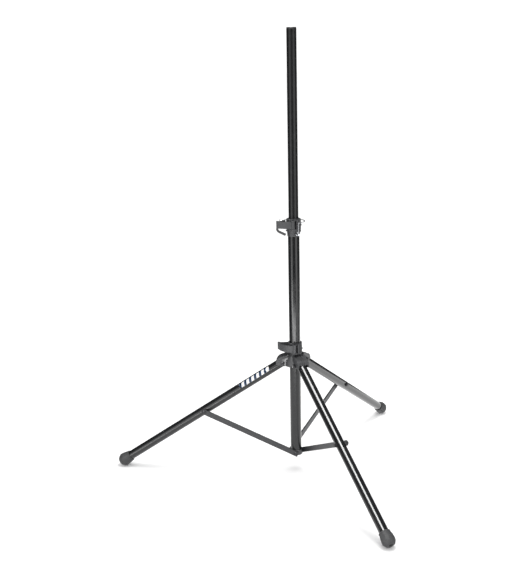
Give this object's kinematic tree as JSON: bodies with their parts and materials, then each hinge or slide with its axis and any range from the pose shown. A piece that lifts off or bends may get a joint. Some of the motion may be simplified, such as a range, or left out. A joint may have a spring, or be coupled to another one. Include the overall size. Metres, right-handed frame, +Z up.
{
  "type": "speaker tripod stand",
  "caption": "Telescoping tripod stand for a loudspeaker: a round mast in a column, a sliding hub, folding tube legs with side braces, rubber feet and cam latches.",
  "frame": {"origin": "the column axis where it meets the floor that the feet stand on", "axes": "+Z up the column, -X along leg 1, +Y completes a right-handed frame"},
  "size_m": [1.05, 1.205, 1.643],
  "materials": {
    "tube": "semi-gloss black powder coat",
    "mast": "semi-gloss black anodised",
    "nylon": "satin black glass-filled nylon",
    "bush": "natural acetal",
    "rubber": "matt black rubber",
    "zinc": "zinc plated",
    "black_steel": "black oxide",
    "chrome": "bright"
  },
  "bodies": {
    "column": {"main_tube": "tube", "base_spider": "nylon", "spider_rivets": "black_steel", "upper_collar": "nylon", "upper_bush": "nylon", "upper_clamp_bolt": "black_steel", "upper_clamp_nut": "black_steel", "upper_lever_pin": "black_steel", "collar_screws": "black_steel"},
    "mast": {"mast_tube": "mast", "mast_cap": "nylon", "mast_bush": "bush", "mast_rivets": "zinc"},
    "upper_latch": {"upper_lever": "nylon", "lever_hook": "nylon"},
    "safety_pin": {"safety_pin": "chrome", "pin_bail": "chrome"},
    "hub": {"hub_casting": "nylon", "hub_bush": "nylon", "leg_pivot_bolts": "black_steel", "leg_pivot_nuts": "black_steel", "lower_collar": "nylon", "lower_clamp_bolt": "black_steel", "lower_clamp_nut": "black_steel", "lower_lever_pin": "black_steel"},
    "lower_latch": {"lower_lever": "nylon"},
    "leg_1": {"leg_tube_1": "tube", "leg_plug_1": "nylon", "leg_boot_1": "rubber", "brace_bolt_1": "black_steel", "brace_spacer_1": "nylon", "brace_nut_1": "black_steel"},
    "brace_1": {"brace_bar_1": "tube", "brace_rivet_1": "black_steel"},
    "leg_2": {"leg_tube_2": "tube", "leg_plug_2": "nylon", "leg_boot_2": "rubber", "brace_bolt_2": "black_steel", "brace_spacer_2": "nylon", "brace_nut_2": "black_steel"},
    "brace_2": {"brace_bar_2": "tube", "brace_rivet_2": "black_steel"},
    "leg_3": {"leg_tube_3": "tube", "leg_plug_3": "nylon", "leg_boot_3": "rubber", "brace_bolt_3": "black_steel", "brace_spacer_3": "nylon", "brace_nut_3": "black_steel"},
    "brace_3": {"brace_bar_3": "tube", "brace_rivet_3": "black_steel"}
  },
  "joints": [
    {"name": "hub_slide", "type": "slide", "parent": "column", "child": "hub", "axis": [0, 0, 1], "range_m": [0, 0.3753]},
    {"name": "mast_slide", "type": "slide", "parent": "column", "child": "mast", "axis": [0, 0, 1], "range_m": [-0.6, 0]},
    {"name": "upper_latch", "type": "hinge", "parent": "column", "child": "upper_latch", "pos_m": [0.00058, -0.03744, 0.9585], "axis": [0, 0, 1], "range_deg": [0, 110]},
    {"name": "lower_latch", "type": "hinge", "parent": "hub", "child": "lower_latch", "pos_m": [0.00058, -0.03744, 0.4935], "axis": [0, 0, 1], "range_deg": [0, 110]},
    {"name": "pin_swing", "type": "hinge", "parent": "column", "child": "safety_pin", "pos_m": [0.015, -0.02598, 0.924], "axis": [-0.5, 0.866, 0], "range_deg": [0, 90]},
    {"name": "leg_1_fold", "type": "hinge", "parent": "hub", "child": "leg_1", "pos_m": [-0.04602, 0, 0.433], "axis": [0, -1, 0], "range_deg": [0, 53.69]},
    {"name": "brace_1_fold", "type": "hinge", "parent": "column", "child": "brace_1", "pos_m": [0, 0, 0.073], "axis": [0, 1, 0], "range_deg": [0, 55.07]},
    {"name": "leg_2_fold", "type": "hinge", "parent": "hub", "child": "leg_2", "pos_m": [0.02301, -0.03985, 0.433], "axis": [0.866, 0.5, 0], "range_deg": [0, 53.69]},
    {"name": "brace_2_fold", "type": "hinge", "parent": "column", "child": "brace_2", "pos_m": [0, 0, 0.073], "axis": [-0.866, -0.5, 0], "range_deg": [0, 55.07]},
    {"name": "leg_3_fold", "type": "hinge", "parent": "hub", "child": "leg_3", "pos_m": [0.02301, 0.03985, 0.433], "axis": [-0.866, 0.5, 0], "range_deg": [0, 53.69]},
    {"name": "brace_3_fold", "type": "hinge", "parent": "column", "child": "brace_3", "pos_m": [0, 0, 0.073], "axis": [0.866, -0.5, 0], "range_deg": [0, 55.07]}
  ],
  "couplings": [
    {"joint": "leg_1_fold", "follows": "hub_slide", "rad_per_m": 2.496},
    {"joint": "brace_1_fold", "follows": "hub_slide", "rad_per_m": 2.56},
    {"joint": "leg_2_fold", "follows": "hub_slide", "rad_per_m": 2.496},
    {"joint": "brace_2_fold", "follows": "hub_slide", "rad_per_m": 2.56},
    {"joint": "leg_3_fold", "follows": "hub_slide", "rad_per_m": 2.496},
    {"joint": "brace_3_fold", "follows": "hub_slide", "rad_per_m": 2.56}
  ]
}
